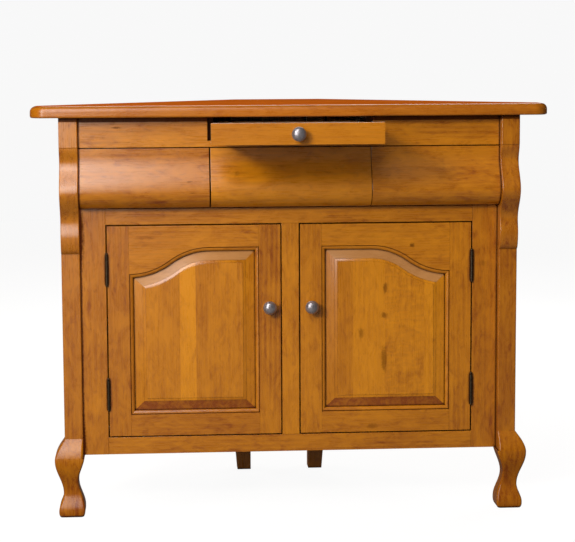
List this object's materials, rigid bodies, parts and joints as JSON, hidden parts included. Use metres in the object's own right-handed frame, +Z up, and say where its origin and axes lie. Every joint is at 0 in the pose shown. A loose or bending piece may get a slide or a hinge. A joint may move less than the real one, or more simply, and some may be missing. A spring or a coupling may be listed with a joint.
{
  "type": "corner buffet",
  "caption": "Wooden corner buffet with two arched-panel doors, a swelling drawer row, a pull-out tray under the top, scrolled front posts and cabriole feet.",
  "frame": {"origin": "on the floor at the middle of the object's footprint with the tray standing open", "axes": "+X to the right of someone facing the doors, +Y from the front to the room corner behind, +Z up"},
  "size_m": [1.088, 0.718, 0.876],
  "materials": {
    "cherry_case": "amber brown stained and lacquered solid wood with dark glaze in the seams",
    "cherry_top": "redder amber brown lacquered solid wood",
    "cherry_panel": "lacquered glued-up solid wood in boards of different tone",
    "inner_wood": "pale clear-finished wood",
    "pewter": "satin brushed pewter",
    "bronze": "dark oil-rubbed bronze",
    "steel": "plated steel"
  },
  "bodies": {
    "case": {"top_board": "cherry_top", "apron_board": "cherry_case", "swell_panel_left": "cherry_case", "swell_panel_right": "cherry_case", "post_left": "cherry_case", "post_right": "cherry_case", "frame_stile_left": "cherry_case", "frame_stile_right": "cherry_case", "frame_mullion": "cherry_case", "frame_mid_rail": "cherry_case", "frame_bottom_rail": "cherry_case", "frame_top_rails": "inner_wood", "drawer_stiles": "inner_wood", "tray_rail": "inner_wood", "side_board_left": "cherry_case", "side_board_right": "cherry_case", "back_board_left": "cherry_panel", "back_board_right": "cherry_panel", "back_board_rear": "cherry_panel", "rear_leg_left": "cherry_case", "rear_leg_right": "cherry_case", "bottom_shelf": "inner_wood", "loose_shelf": "inner_wood", "shelf_pins": "steel", "dust_panel": "inner_wood", "drawer_runners": "inner_wood", "tray_runners": "inner_wood", "door_catches": "bronze", "hinge_frame_leaves": "bronze", "hinge_pins": "bronze"},
    "drawer": {"drawer_front": "cherry_case", "drawer_side_left": "inner_wood", "drawer_side_right": "inner_wood", "drawer_back": "inner_wood", "drawer_bottom": "inner_wood"},
    "tray": {"tray_front": "cherry_case", "tray_side_left": "inner_wood", "tray_side_right": "inner_wood", "tray_back": "inner_wood", "tray_bottom": "inner_wood", "tray_knob": "pewter", "tray_knob_screw": "steel"},
    "left_door": {"left_hinge_stile": "cherry_case", "left_lock_stile": "cherry_case", "left_arched_rail": "cherry_case", "left_bottom_rail": "cherry_case", "left_panel": "cherry_panel", "left_knob": "pewter", "left_knob_screw": "steel", "left_hinge_leaves": "bronze", "left_strike_plate": "steel"},
    "right_door": {"right_hinge_stile": "cherry_case", "right_lock_stile": "cherry_case", "right_arched_rail": "cherry_case", "right_bottom_rail": "cherry_case", "right_panel": "cherry_panel", "right_knob": "pewter", "right_knob_screw": "steel", "right_hinge_leaves": "bronze", "right_strike_plate": "steel"}
  },
  "joints": [
    {"name": "left_door_hinge", "type": "hinge", "parent": "case", "child": "left_door", "pos_m": [-0.3911, -0.0894, 0.3945], "axis": [0, 0, -1], "range_deg": [0, 140]},
    {"name": "right_door_hinge", "type": "hinge", "parent": "case", "child": "right_door", "pos_m": [0.3911, -0.0894, 0.3945], "axis": [0, 0, 1], "range_deg": [0, 140]},
    {"name": "drawer_slide", "type": "slide", "parent": "case", "child": "drawer", "axis": [0, -1, 0], "range_m": [0, 0.24]},
    {"name": "tray_slide", "type": "slide", "parent": "case", "child": "tray", "axis": [0, -1, 0], "range_m": [-0.225, 0.03]}
  ]
}
